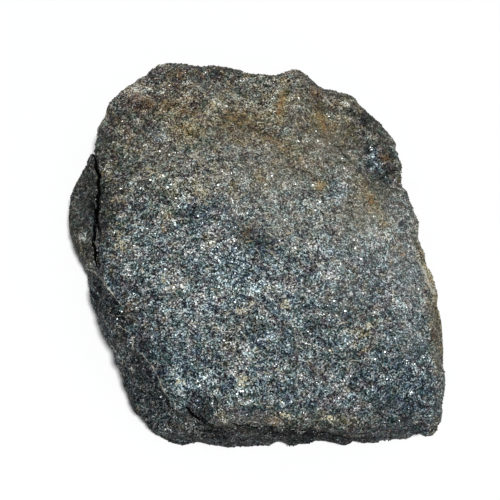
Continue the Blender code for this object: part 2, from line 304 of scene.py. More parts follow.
# Lines of the drawing: each is a list of corners and half its width, all in millimetres.
rimRoute = [
    (-52.4, 41.4), (-50.6, 28.5), (-49.3, 20.5), (-49.2, 13.4), (-49.8, 5.7), (-51.1, -2.3), (-51.4, -6.8),
    (-49.2, -8.8), (-41.8, -18.7), (-39.9, -26.5), (-37.9, -31.9), (-33.8, -35.8), (-29.3, -44.1),
    (-24.4, -50.9), (-19.6, -52.8), (-14.2, -56.7), (-6.1, -57.0), (11.6, -58.3), (20.2, -59.2),
    (30.2, -61.2), (43.1, -62.1), (62.7, -62.5),
]
creviceRoute = [
    (-51.6, 36.9), (-51.3, 32.7), (-50.6, 29.2), (-49.8, 26.3), (-49.0, 22.7), (-48.9, 18.2), (-49.3, 13.4),
    (-49.8, 8.6), (-50.4, 3.8), (-50.5, 0.5), (-50.0, -3.0), (-49.8, -5.6),
]
notchRoute = [(-20.9, -51.8), (-19.0, -53.5), (-17.0, -55.1), (-11.9, -58.3)]
lipRoute = [(-6.1, -57.0), (2.6, -58.0), (11.6, -58.3), (20.2, -59.2), (30.2, -61.2), (43.1, -62.1)]
stepRoute = [(1.0, -26.8), (3.5, -25.8), (7.7, -26.5), (12.5, -27.7), (14.8, -27.7)]
edgeRoute = [(27.0, 50.1), (33.7, 43.9), (40.8, 34.3), (45.3, 26.3), (49.5, 19.8)]
veinLines = [
    ([(-53.1, -7.5), (-50.2, -7.8), (-49.2, -9.1), (-46.9, -12.3), (-44.4, -15.2), (-41.8, -18.7)], 0.15),
    ([(-42.6, -25.5), (-40.2, -26.5), (-38.6, -28.1), (-37.9, -31.9)], 0.15),
    ([(-34.7, -35.1), (-32.2, -38.0), (-30.2, -40.9), (-29.3, -44.1), (-27.3, -47.3), (-24.4, -50.9)], 0.15),
    ([(54.6, -5.6), (56.6, -11.3), (58.8, -14.9)], 0.42),
    ([(21.5, 12.4), (26.3, 10.2)], 0.16),
    ([(1.9, 43.3), (8.0, 44.6), (15.1, 45.6)], 0.15),
    ([(23.1, 48.1), (27.0, 44.9)], 0.20),
    ([(-45.3, -31.9), (-44.4, -32.9)], 0.28),
    ([(-6.1, 48.4), (-1.0, 45.2), (4.8, 42.3)], 0.13),
    ([(-14.8, 40.7), (-13.6, 44.6), (-12.5, 47.8)], 0.12),
    ([(-14.8, 40.7), (-12.2, 44.4), (-9.3, 46.8)], 0.12),
    ([(-13.6, 43.4), (-10.0, 44.9), (-6.4, 45.2)], 0.11),
    ([(-13.2, 32.1), (-8.0, 31.9), (-3.5, 31.1)], 0.11),
    ([(-19.6, 28.5), (-17.2, 30.4), (-14.5, 31.7)], 0.13),
    ([(14.8, -31.6), (15.4, -38.0), (14.5, -44.5), (16.7, -49.3)], 0.10),
    ([(-4.8, -30.0), (-6.1, -36.4), (-3.5, -42.8)], 0.10),
    ([(25.4, -37.4), (35.0, -36.4), (46.3, -35.1)], 0.08),
]
crackLines = [
    (creviceRoute[:4], 0.30), (creviceRoute[3:8], 0.48), (creviceRoute[7:11], 0.46),
    (creviceRoute[10:], 0.25), ([(1.0, -26.8), (7.7, -26.5)], 0.12),
    (notchRoute[:3], 0.34), (notchRoute[2:], 0.16), (lipRoute[:2], 0.16), (lipRoute[2:5], 0.13),
]

bodyShape = {
    "voxel": 0.74 * mm,            # finest form that the skin holds
    "mergeReach": 0.001 * mm, "easing": 0.5, "easings": 3,
    "inset": 0.12 * mm,            # room left for the grains that stand on the skin
    "lumpSize": 9.0 * mm, "lumpDepth": 0.32 * mm,
    "hackleSize": 3.0 * mm, "hackleDepth": 0.30 * mm,
    "pitSize": 4.5 * mm, "pitDepth": 0.5 * mm, "pitFrom": (0.60, 0.78),
    "noiseGain": 4.0,
    "hacklyRise": 1.6, "hacklyPits": 1.5,            # how much rougher the broken corner is
    "restHeight": 1.2 * mm, "wornCalm": 0.75,        # smoother near the floor and where worn
    "crackDepth": 2.2 * mm, "crackHalf": 0.85,       # its half width is in sheet millimetres
    "creviceFlat": 0.25, "notchFlat": 0.2, "lipFlat": 0.1, "notchShare": 0.8,
    "lipDepth": 0.9 * mm, "stepRise": 0.5 * mm, "edgeRise": 0.7 * mm,
    "stepSides": (-0.5, 0.3, 5.0), "edgeSides": (-0.6, 0.4, 6.0),
    # Places on the drawing: across, along, long and short half sizes, turn and strength.
    "smooth": [(24.0, -64.0, 38.0, 4.5, 0, 0.8), (61.5, -35.0, 3.0, 26.0, 0, 0.7)],
    "hackly": [(41.0, 28.0, 11.0, 7.0, -35, 1.0), (33.0, 41.0, 7.0, 5.0, -40, 0.8),
               (44.0, 20.0, 6.0, 5.0, 0, 0.8)],
    "swellRise": 1.3 * mm,
    "swells": [
        (38.8, -62.6, 9.5, 3.2, 3, 2.6), (15.0, -63.0, 6.5, 2.4, 0, 1.7), (57.8, -59.5, 4.6, 3.6, 30, 1.9),
        (-57.5, 22.0, 3.2, 9.0, -18, 1.0), (-5.5, 57.0, 11.0, 3.0, -6, 0.9), (61.5, -33.0, 3.0, 12.0, 0, 0.6),
        (-59.2, 2.4, 3.0, 5.0, 20, 0.9), (-56.0, 27.8, 2.6, 3.0, 0, 0.9), (60.5, -56.5, 3.0, 5.0, 20, 1.2),
    ],
    "dentDepth": 1.3 * mm,
    "dents": [(-44.6, 45.0, 8.5, 3.4, 52, 1.1), (22.8, 51.9, 4.5, 2.0, -35, 0.8)],
    "holeDepth": 1.0 * mm,
    "holes": [
        (43.1, 28.5, 1.5, 1.2, 0, 1.0), (40.6, 24.9, 1.6, 1.1, 20, 1.0), (46.0, 24.2, 1.5, 1.0, 0, 0.9),
        (34.3, 42.6, 1.3, 1.1, 0, 0.9), (37.2, 31.6, 1.4, 1.0, -30, 0.8), (39.4, 34.0, 1.2, 1.0, 0, 0.7),
        (-1.3, 4.7, 1.3, 0.9, 0, 0.6), (2.6, 2.2, 2.4, 0.8, -10, 0.5), (-18.5, 11.5, 2.0, 1.0, -30, 0.3),
        (-14.0, 9.0, 1.6, 0.9, 10, 0.5), (-15.5, -48.5, 1.7, 1.1, -40, 0.7), (-52.4, -9.1, 0.9, 0.9, 0, 0.8),
        (4.0, -45.5, 2.0, 1.0, 0, 0.5), (22.0, -41.5, 1.6, 0.9, 30, 0.5), (44.0, -42.0, 1.8, 1.0, 50, 0.5),
    ],
}


def groove(sheet, route, flat):  # 1 in a cut along the route, falling to 0 at its sides
    return 1 - smoothStep(np.abs(lineSide(sheet, route)), flat, bodyShape["crackHalf"])


def ledge(side, low, crest, foot):  # climbs from low to the crest, then eases down to its foot
    return smoothStep(side, low, crest) * (1 - smoothStep(side, crest, foot))


def carveField(sheet):  # how deep the cracks, holes and steps are cut, in metres
    sheet = waver(sheet)
    crevice = groove(sheet, creviceRoute, bodyShape["creviceFlat"])
    notch = groove(sheet, notchRoute, bodyShape["notchFlat"])
    lip = groove(sheet, lipRoute, bodyShape["lipFlat"])
    step = ledge(lineSide(sheet, stepRoute), *bodyShape["stepSides"])
    edge = ledge(-lineSide(sheet, edgeRoute), *bodyShape["edgeSides"])
    return (np.maximum(crevice, bodyShape["notchShare"] * notch) * bodyShape["crackDepth"]
            + lip * bodyShape["lipDepth"] - step * bodyShape["stepRise"] - edge * bodyShape["edgeRise"]
            + spotField(sheet, bodyShape["holes"]) * bodyShape["holeDepth"]
            + spotField(sheet, bodyShape["dents"]) * bodyShape["dentDepth"]
            - spotField(sheet, bodyShape["swells"]) * bodyShape["swellRise"])


def skinTree():
    net = Net(bpy.data.node_groups.new("oreSkin", "GeometryNodeTree"))
    asked = net.open(("Inset", "Lump Size", "Lump Depth", "Hackle Size", "Hackle Depth",
                      "Pit Size", "Pit Depth"))
    place = net.wire("GeometryNodeInputPosition")
    normal = net.wire("GeometryNodeInputNormal")
    gain = bodyShape["noiseGain"]
    lumps = swing(net.noise(place, asked["Lump Size"])) * asked["Lump Depth"] * gain
    hackles = swing(net.noise(place, asked["Hackle Size"], 3.0)) * asked["Hackle Depth"] * gain
    pits = net.step(net.noise(place, asked["Pit Size"], 1.0), *bodyShape["pitFrom"]) * asked["Pit Depth"]
    hackly = net.field("hackly")
    relief = lumps + hackles * (1.0 + bodyShape["hacklyRise"] * hackly)
    relief = relief - pits * (1.0 + bodyShape["hacklyPits"] * hackly)
    rise = relief * (1.0 - net.field("calm")) - asked["Inset"] - net.field("carve")
    return net.close(net.wire("GeometryNodeSetPosition", None,
                              {"Geometry": asked["Geometry"], "Offset": net.scaled(normal, rise)}))


def mergedSolid():  # the stone's solid, with the corners of its loose triangles joined
    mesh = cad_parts["chromite_ore"].data.copy()
    work = bmesh.new()
    work.from_mesh(mesh)
    bmesh.ops.remove_doubles(work, verts=work.verts, dist=bodyShape["mergeReach"])
    work.to_mesh(mesh)
    work.free()
    return mesh


def makeBody():
    body = addObject("ore_body", mergedSolid())
    voxels = body.modifiers.new("voxels", "REMESH")
    voxels.mode, voxels.voxel_size, voxels.use_smooth_shade = "VOXEL", bodyShape["voxel"], True
    easing = body.modifiers.new("easing", "SMOOTH")
    easing.factor, easing.iterations = bodyShape["easing"], bodyShape["easings"]
    body.data = baked(body)
    print("stage: body remeshed,", len(body.data.polygons), "faces")
    points = readArray(body.data.vertices, "co", 3)
    sheet = ontoSheet(points)
    seen = facing(body.data, drawing["seenFrom"])
    calm = np.maximum(1 - points[:, 2] / bodyShape["restHeight"], spotField(sheet, bodyShape["smooth"]))
    calm = np.maximum(calm, bodyShape["wornCalm"] * wornField(sheet) * seen)
    storeField(body.data, "calm", np.clip(calm, 0, 1))
    storeField(body.data, "carve", carveField(sheet) * facing(body.data, drawing["cutFrom"]))
    storeField(body.data, "hackly", spotField(sheet, bodyShape["hackly"]) * seen)
    addNodes(body, skinTree(), {
        "Inset": bodyShape["inset"],
        "Lump Size": bodyShape["lumpSize"], "Lump Depth": bodyShape["lumpDepth"],
        "Hackle Size": bodyShape["hackleSize"], "Hackle Depth": bodyShape["hackleDepth"],
        "Pit Size": bodyShape["pitSize"], "Pit Depth": bodyShape["pitDepth"],
    })
    body.data = baked(body)
    keepInBox(body.data)
    print("stage: skin cut,", len(body.data.polygons), "faces")
    return body


# Stains, patches, painted shade and painted highlights of the drawing: across, along, long and short half
# sizes, turn and strength.
stains = {
    "brown": [
        (-20.0, 44.0, 24.0, 11.0, 0, 0.8), (-2.0, 39.0, 14.0, 8.0, 0, 1.0),
        (22.0, 42.0, 18.0, 12.0, -30, 0.8), (14.0, 29.0, 17.0, 11.0, 0, 0.6),
        (36.0, 16.0, 11.0, 12.0, -40, 0.5), (16.0, -57.0, 44.0, 3.5, 0, 0.4),
        (-42.0, 40.0, 9.0, 7.0, 40, 0.7), (-28.0, 20.0, 12.0, 9.0, 0, 0.4),
        (34.0, -28.0, 10.0, 7.0, 0, 0.35), (55.5, -2.0, 12.0, 2.6, -78, 0.9),
        (60.0, -26.0, 3.0, 27.0, 0, 1.0), (-57.0, 3.0, 5.0, 12.0, 0, 0.6),
    ],
    "rust": [
        (9.6, 45.6, 1.1, 4.8, -12, 1.2), (9.6, 52.3, 1.6, 1.6, 0, 0.5), (22.8, 40.4, 1.0, 4.2, 18, 0.8),
        (8.0, 34.0, 4.8, 1.6, -20, 0.7), (16.1, 27.6, 1.3, 1.3, 0, 0.6), (22.2, 19.5, 1.4, 1.7, 0, 1.1),
        (3.2, 22.1, 1.0, 2.3, 30, 0.7), (38.6, 14.7, 1.0, 1.8, 0, 1.2), (33.1, 13.1, 1.0, 1.0, 0, 0.6),
        (39.5, 13.7, 0.8, 8.4, 38, 0.5), (43.4, 7.0, 1.6, 1.1, 0, 1.1), (47.2, 1.5, 0.8, 4.8, 25, 0.5),
        (48.5, -2.3, 1.2, 1.4, 0, 1.0), (-19.6, 37.5, 4.5, 2.6, 0, 0.6), (-21.9, 43.6, 1.9, 1.6, 0, 0.6),
        (-27.7, 45.6, 2.9, 1.9, 0, 0.5), (-6.8, 42.3, 2.9, 1.6, 0, 0.5), (-27.3, 10.2, 1.6, 1.6, 0, 0.6),
        (-28.3, 6.0, 1.3, 1.3, 0, 0.6), (-44.4, 15.3, 1.6, 1.6, 0, 0.5), (-35.1, 47.8, 6.1, 2.9, -25, 0.5),
        (20.6, 49.7, 2.6, 1.6, -35, 0.7), (43.1, 28.5, 1.9, 1.6, 0, 0.8), (-1.3, 4.7, 1.6, 1.3, 0, 0.6),
        (7.7, -55.7, 2.9, 1.3, 0, 0.6), (-38.9, -20.7, 1.9, 2.6, 0, 0.5), (57.2, -11.7, 1.0, 4.5, -25, 0.6),
    ],
    "tan": [
        (-28.0, -11.0, 1.3, 1.3, 0, 0.6), (-23.8, -13.3, 4.5, 3.9, 0, 0.25),
        (-4.2, -20.7, 1.6, 1.6, 0, 0.6), (-11.3, -25.8, 1.6, 1.6, 0, 0.3), (-2.6, -42.8, 1.9, 2.3, 0, 0.7),
        (-22.8, -43.5, 1.9, 1.6, 0, 0.6), (11.2, -18.4, 1.6, 1.6, 0, 0.6), (32.1, -26.8, 2.2, 1.3, 0, 0.45),
        (37.9, -25.2, 1.5, 1.3, 0, 0.5), (26.0, -33.5, 1.5, 1.3, 0, 0.45), (33.1, -31.3, 1.3, 1.2, 0, 0.45),
        (37.0, -33.2, 1.5, 1.2, 0, 0.45), (10.9, -54.1, 1.9, 1.3, 0, 0.6), (25.1, -55.1, 1.9, 1.3, 0, 0.6),
        (-32.5, 24.0, 3.2, 3.2, 0, 0.4), (-16.4, 18.2, 2.9, 5.1, 30, 0.4), (-42.1, 2.2, 2.6, 6.4, 0, 0.4),
    ],
    "ochre": [
        (10.3, 44.9, 1.7, 5.2, -8, 1.6), (22.2, 40.7, 1.9, 4.6, 18, 1.0), (-20.3, 37.5, 4.6, 2.8, 0, 1.0),
        (-27.7, 44.6, 6.0, 3.4, 0, 0.6), (-4.8, 42.0, 8.0, 4.6, 0, 0.5), (22.2, 19.8, 2.4, 1.9, 0, 1.4),
        (2.2, 23.0, 1.8, 2.6, 0, 0.7), (38.4, 15.6, 10.0, 1.9, -61, 0.8), (57.3, -8.5, 6.0, 1.3, -66, 1.0),
        (12.0, 32.0, 6.0, 3.0, -30, 0.5), (-46.0, 11.0, 2.4, 8.0, 0, 0.6), (-26.0, 11.0, 2.0, 2.4, 0, 0.8),
    ],
    "cool": [
        (-4.3, -10.0, 8.0, 7.0, 0, 0.9), (-20.4, -40.5, 9.0, 9.0, 0, 0.8), (2.9, -44.5, 10.0, 5.0, 0, 0.8),
        (52.0, -45.0, 9.0, 12.0, 0, 1.0), (39.9, 27.0, 2.4, 3.0, 0, 1.6), (-30.0, 35.6, 2.4, 1.8, 0, 0.8),
        (27.0, -30.0, 6.0, 4.0, 0, 0.7), (-16.4, 11.2, 6.4, 3.2, 0, 0.9), (20.0, -20.0, 7.0, 5.0, 0, 0.6),
        (5.3, -29.5, 4.0, 3.0, 0, 0.7), (53.0, -9.0, 3.4, 4.0, 0, 0.6), (28.0, 17.4, 3.0, 3.0, 0, 0.7),
    ],
    "violet": [
        (-30.0, 50.0, 17.0, 9.0, 20, 1.0), (-27.0, 45.0, 7.0, 4.0, 0, 1.3), (1.0, 31.0, 11.0, 8.0, 0, 0.5),
        (22.0, 50.0, 8.0, 4.0, -30, 0.7), (-2.0, 8.0, 9.0, 5.0, 0, 0.4), (-12.0, 22.0, 6.0, 5.0, 0, 0.4),
    ],
    # dark patches and pits, with painted shade along the margins, beside the crevice, under the lip and at
    # the foot
    "dark": [
        (-16.7, 10.5, 6.8, 3.2, 0, 0.5), (0.5, 3.2, 5.0, 2.8, -15, 1.1), (-16.4, -51.0, 4.2, 3.4, 0, 1.3),
        (5.5, -44.5, 5.5, 3.2, 0, 0.6), (46.3, -44.5, 5.5, 8.4, 0, 0.5), (40.8, 27.9, 6.4, 4.5, -30, 0.8),
        (35.0, 39.1, 5.1, 7.1, -35, 0.6), (44.0, 22.7, 4.5, 3.2, 0, 0.7), (-52.4, -9.1, 1.0, 1.0, 0, 0.9),
        (-32.5, 8.6, 3.2, 5.1, 0, 0.4), (-38.9, 37.5, 7.1, 3.9, -40, 0.3), (20.6, -40.3, 3.9, 5.1, 0, 0.4),
        (-32.5, -26.8, 4.5, 6.4, -35, 0.5), (48.0, -50.0, 14.0, 7.5, 0, 0.6),
        (-46.0, 14.0, 3.5, 17.0, 0, 0.55), (-42.0, 42.0, 3.0, 11.0, -42, 0.5),
        (-41.0, -14.0, 4.0, 10.0, 38, 0.6), (-2.0, -38.0, 42.0, 20.0, 0, 0.14),
        (22.2, -23.6, 7.0, 6.0, 0, 0.5), (-3.5, -23.6, 5.0, 6.0, 0, 0.3), (-16.4, -36.4, 8.0, 5.5, 0, 0.45),
        (35.0, -36.4, 6.5, 6.0, 0, 0.45), (-31.0, -45.0, 7.0, 7.0, 0, 0.35),
        (28.0, -57.5, 10.0, 3.0, -5, 0.5), (48.5, -55.7, 1.8, 1.8, 0, 1.2), (-55.0, 26.0, 3.0, 6.0, 0, 0.4),
        (24.0, 45.0, 9.0, 4.0, -35, 0.2), (-24.0, 56.0, 22.0, 3.0, 0, 0.3),
        (-44.5, 12.0, 6.5, 22.0, 0, 0.75), (-47.4, 13.0, 2.8, 21.0, 0, 1.1),
        (-5.0, 40.0, 6.0, 3.2, 0, 0.55), (44.0, 23.2, 3.4, 2.2, 0, 1.5), (-37.0, -27.0, 5.5, 15.0, 32, 0.8),
        (-29.0, -43.0, 4.0, 8.0, 35, 0.7), (8.0, -54.0, 26.0, 3.6, 0, 0.45),
        (47.0, -60.0, 18.0, 5.0, 0, 1.0), (8.0, -63.0, 24.0, 2.6, 0, 0.5),
        (24.0, -60.2, 26.0, 1.7, -5, 1.5), (-14.5, -55.5, 5.0, 1.8, -38, 1.1),
        (47.0, -47.0, 12.0, 8.0, 0, 0.25), (35.5, 40.5, 2.6, 3.2, 0, 1.0), (42.0, 25.5, 3.2, 2.2, 0, 1.0),
        (45.5, 21.5, 2.4, 1.6, 0, 0.9), (-34.0, 47.0, 9.0, 3.0, 30, 0.4),
    ],
    # pale patches, with painted highlights where clusters of grains glint
    "bright": [
        (-36.7, 51.0, 1.6, 1.3, 0, 1.3), (-28.6, 49.7, 1.8, 1.2, 0, 1.3), (-46.9, 23.7, 1.3, 2.6, 0, 0.6),
        (-42.4, 9.2, 1.6, 1.6, 0, 0.7), (-4.8, 14.1, 1.6, 1.3, 0, 0.7), (-0.7, 46.5, 2.3, 1.3, 0, 0.6),
        (-1.9, 21.4, 1.6, 1.6, 0, 0.7), (11.2, 8.8, 4.2, 2.6, 0, 0.6), (28.3, 15.3, 2.3, 1.6, 0, 0.6),
        (40.0, 6.0, 12.0, 9.0, 0, 0.5), (-36.0, 3.5, 9.0, 6.0, 0, 0.4), (27.0, -7.8, 2.0, 2.8, 0, 0.9),
        (15.2, -24.0, 2.2, 1.5, 0, 0.9), (5.8, -28.4, 2.3, 1.9, 0, 0.8), (-0.7, -33.5, 1.9, 1.6, 0, 0.7),
        (-14.2, -41.4, 2.0, 2.0, 0, 1.0), (-22.8, -43.6, 1.7, 1.7, 0, 0.9),
        (-43.4, -26.5, 1.3, 1.3, 0, 0.7), (-38.6, -16.8, 1.6, 1.6, 0, 0.6),
        (-22.2, -12.3, 3.0, 2.2, 0, 0.45), (-8.4, -11.5, 3.0, 3.0, 0, 0.4),
        (-16.4, -23.6, 6.0, 6.0, 0, 0.4), (5.0, -12.6, 2.8, 2.0, 0, 0.75), (-3.0, -41.0, 1.6, 6.0, 8, 0.2),
        (11.6, -54.1, 1.6, 1.3, 0, 0.6), (-11.6, 45.6, 1.9, 1.3, 0, 0.5), (47.9, -15.0, 6.4, 9.0, 0, 0.25),
        (17.0, 14.5, 15.0, 7.0, 0, 0.38), (-19.6, -1.7, 8.4, 3.9, 0, 0.2), (25.4, 2.2, 9.6, 4.5, 0, 0.3),
        (-54.2, 3.2, 1.7, 1.5, 0, 1.6), (-25.5, -56.0, 6.5, 4.0, 0, 0.5), (38.9, 13.4, 6.5, 1.5, -61, 0.5),
        (-6.8, 31.1, 6.0, 2.6, 0, 0.4), (57.0, -9.5, 4.5, 1.3, -62, 0.8),
        (54.5, -1.0, 12.0, 3.2, -78, 0.25), (9.5, 51.5, 5.0, 4.0, 0, 0.35), (-33.5, 50.3, 5.0, 1.6, 5, 0.7),
        (40.4, 27.2, 0.8, 1.2, 0, 1.6), (39.2, 29.4, 0.8, 0.7, 0, 1.4), (34.4, 41.8, 1.3, 0.7, 0, 1.2),
    ],
    "dust": [
        (8.0, 24.0, 16.0, 12.0, 0, 0.8), (24.0, 34.0, 14.0, 10.0, -30, 0.8),
        (36.0, 10.0, 12.0, 14.0, -20, 1.0), (14.0, 8.0, 14.0, 6.0, 0, 0.7), (-6.0, 33.0, 12.0, 7.0, 0, 0.5),
        (50.0, -8.0, 5.0, 14.0, 20, 0.9), (-30.0, 32.0, 10.0, 8.0, 0, 0.35),
        (32.0, -14.0, 12.0, 8.0, 0, 0.35), (52.0, -26.0, 6.0, 9.0, 0, 0.5),
        (12.0, -55.0, 26.0, 2.5, 0, 0.3),
    ],
    "fibrous": [
        (-14.0, 30.0, 18.0, 16.0, 0, 1.0), (-38.0, 18.0, 9.0, 18.0, 0, 0.6), (8.0, 4.0, 18.0, 12.0, 0, 0.8),
        (0.0, -34.0, 16.0, 14.0, 0, 0.6), (26.0, -10.0, 12.0, 12.0, 0, 0.5), (8.0, 44.0, 10.0, 5.0, 0, 0.8),
        (-22.0, -12.0, 12.0, 10.0, 0, 0.5),
    ],
    # where the flank's painted shade is eased
    "openFlank": [(-44.0, -30.0, 5.0, 16.0, 28, 0.3)],
    "worn": [(-55.0, 10.0, 6.0, 19.0, 0, 1.0)],       # the smooth shelf
    "rubbed": [
        (40.8, 38.5, 14.0, 1.7, -51, 0.75), (23.0, 52.5, 9.0, 2.2, -32, 0.6),
        (53.5, 2.0, 2.0, 9.0, 16, 0.5), (46.5, 11.0, 3.5, 8.0, 18, 0.45), (60.2, -29.0, 2.2, 20.0, 0, 0.45),
        (-5.0, 39.4, 6.5, 3.0, -8, 0.4),
    ],
}
paint = {
    "browning": (-12.0, 48.0), "browned": 0.55,      # along the sheet, from steel blue to brown
    # flankSides sets where the flank's painted shade begins across the rim
    "flankSides": (-0.3, 1.6), "wornFlank": 0.5,     # across the rim, and how far the shelf stays out of it
    "shelfSides": (0.2, 1.2),                        # across the crevice
    "holeShade": 1.1,
    "lineEnd": 8.0,                                  # half widths past which a line leaves no paint
    # sides and underside also get half of the flank's painted shade
    "unseen": {"warm": 0.35, "dust": 0.3, "fibrous": 0.4, "flank": 0.5},       # on the sides and underside
}


def wornField(sheet):
    shelf = smoothStep(-lineSide(sheet, creviceRoute), *paint["shelfSides"])
    return np.maximum(spotField(sheet, stains["worn"]) * shelf, spotField(sheet, stains["rubbed"]))


def paintFields(mesh):  # leaves on the mesh what its materials read
    sheet = ontoSheet(readArray(mesh.vertices, "co", 3))
    seen = facing(mesh, drawing["seenFrom"])
    spots = {name: spotField(sheet, places) for name, places in stains.items()}
    # painted shade in the carved holes; shade is bright less dark, so it holds painted shade and painted
    # highlights as well as real tone
    dark = np.maximum(spots["dark"], paint["holeShade"] * spotField(sheet, bodyShape["holes"]))
    warm = np.maximum(paint["browned"] * smoothStep(sheet[:, 1], *paint["browning"]), spots["brown"])
    # painted shade on the flank below the rim, less of it on the shelf
    flank = smoothStep(-lineSide(sheet, rimRoute, True), *paint["flankSides"])
    fields = {
        "warm": warm - spots["cool"], "shade": spots["bright"] - dark, "worn": wornField(sheet),
        "flank": flank * (1 - paint["wornFlank"] * spots["worn"]) * (1 - spots["openFlank"]),
    }
    for name in ("ochre", "rust", "tan", "violet", "dust", "fibrous"):
        fields[name] = spots[name]
    for name, values in fields.items():
        storeField(mesh, name, seen * values + (1 - seen) * paint["unseen"].get(name, 0.0))
    for name, lines in (("vein", veinLines), ("crack", crackLines)):
        values = linesField(waver(sheet), lines)
        storeField(mesh, name, np.clip(values, -paint["lineEnd"], paint["lineEnd"]))
    storeField(mesh, "lined", seen)
    storeField(mesh, "split", facing(mesh, drawing["crackedFrom"]))


oreLook = {
    # Grain: sizes, and how far each grain's face leans away from the skin.
    "fineGrain": 0.37 * mm, "fineLean": 0.55, "coarseGrain": 1.05 * mm, "coarseLean": 0.30, "wornLean": 0.7,
    "clumpSize": 2.2 * mm, "patchSize": 9.0 * mm, "grainTurn": -32.0, "grainStretch": 0.72,
    # How light a grain is, from 0 for black to 1 for nearly white; the shade term brings painted shade and
    # painted highlights into it, and the flank term painted shade.
    "baseTone": 0.435, "fineTone": 0.79, "warmTone": 0.16, "coarseTone": 0.18, "clumpTone": 0.62,
    "hacklyTone": 0.9, "patchTone": 0.36, "shadeTone": 0.29, "flankShadeDrop": 0.11,
    "toneStops": [(0.0, (0.003, 0.004, 0.005)), (0.28, (0.012, 0.014, 0.017)), (0.50, (0.055, 0.058, 0.060)),
                  (0.68, (0.147, 0.155, 0.152)), (0.84, (0.36, 0.37, 0.36)), (1.0, (0.83, 0.85, 0.83))],
    # Its hue, from steel blue at 0 to orange brown at 1.
    "baseHue": 0.08, "fineHue": 0.22, "coarseHue": 0.22, "driftHue": 1.5, "driftSize": 2.8 * mm,
    "patchHue": 0.5, "warmHue": 0.28,
    "tints": [(0.0, (0.60, 0.95, 1.24)), (0.22, (0.70, 1.06, 1.06)), (0.42, (0.98, 0.95, 1.08)),
              (0.58, (1.00, 1.04, 0.90)), (0.74, (1.22, 1.06, 0.68)), (1.0, (1.42, 1.00, 0.48))],
    "creamTint": (0.97, 1.005, 1.0), "creamShare": 0.6, "creamFrom": (0.60, 0.88),
    "castSize": 3.2 * mm, "castShift": (0.4, 0.2, 0.1), "castFrom": (0.25, 0.75), "castTones": (0.55, 0.80),
    "violetTint": (1.15, 0.88, 1.07), "greenTint": (0.90, 1.11, 0.90), "violetPull": 0.12,
    # Dust and stains: tone, how much of it, what breaks it up, and the range over which it sets in.
    "dustTone": (0.157, 0.158, 0.142), "dustCover": 0.62, "dustOdds": 0.4, "dustFrom": (0.35, 0.75),
    "dustLost": (0.1, 0.9), "dustLow": 0.72, "dustSpread": 0.56,
    "brownTint": (1.24, 1.00, 0.61), "brownLost": 0.5, "brownTones": (0.55, 0.90),
    "ochreTint": (1.08, 1.0, 0.74),
    "tanTone": (0.45, 0.41, 0.27), "tanShare": 0.8, "tanOdds": 0.7, "tanClumps": 0.5, "tanFrom": (0.95, 1.15),
    "rustTone": (0.23, 0.13, 0.048), "rustShare": 0.9, "rustOdds": 0.9, "rustFrom": (0.25, 0.85),
    "rustGrain": 0.35,
    # The painted shade of the flank below the rim, and the worn shelf.
    "flankShadeTone": (0.006, 0.006, 0.006), "flankShadeShare": 0.60, "flankShadowShare": 0.75, "flankShadowTones": (0.12, 0.42),
    "wornTone": (0.052, 0.056, 0.050), "wornCover": 0.28, "wornDark": 0.26, "wornBright": 0.25,
    "wornFrom": (0.2, 1.0),
    # Veins, painted shadow in the cracks, and painted fibres.
    "wanderSize": 1.1 * mm, "wander": 1.5, "crackWander": 0.6,
    "veinTone": (0.40, 0.39, 0.33), "veinCover": 0.85, "veinEdge": (0.7, 1.5),
    "veinLeast": 0.25, "veinFrom": (0.36, 0.52),
    "crackShadowTone": (0.003, 0.003, 0.003), "crackShadowCover": 0.98, "crackEdge": (0.8, 1.6), "crackDull": 0.3,
    # near black and without sheen: painted shadow in the cracks and between the flank's darkest grains
    "shadowTone": (0.002, 0.002, 0.002, 1.0),
    "threadTone": (0.42, 0.40, 0.28), "threadCover": 0.3, "threadLow": 0.5, "threadSpread": 0.9,
    "threadSize": 2.4 * mm, "threadEdge": (0.010, 0.032), "threadFrom": (0.50, 0.56),
    "crossSize": 3.4 * mm, "crossEdge": (0.008, 0.026), "crossShift": (0.3, 0.1, 0.7),
    # Glints and gloss.
    "glintTone": (0.50, 0.54, 0.56), "glintCover": 0.6, "glintMetal": 0.7,
    "glintFine": 0.85, "glintCoarse": 0.15, "glintFrom": (0.86, 0.87), "glintClumps": (0.42, 0.60),
    "gloss": 0.32, "dull": 0.60, "bend": 1.45, "sheen": 0.22,
}


def threadsAt(net, place, size, edge):  # fine winding lines, where a broad noise passes its middle
    return net.fall(net.absolute(swing(net.noise(place, size, 1.0))), *edge)


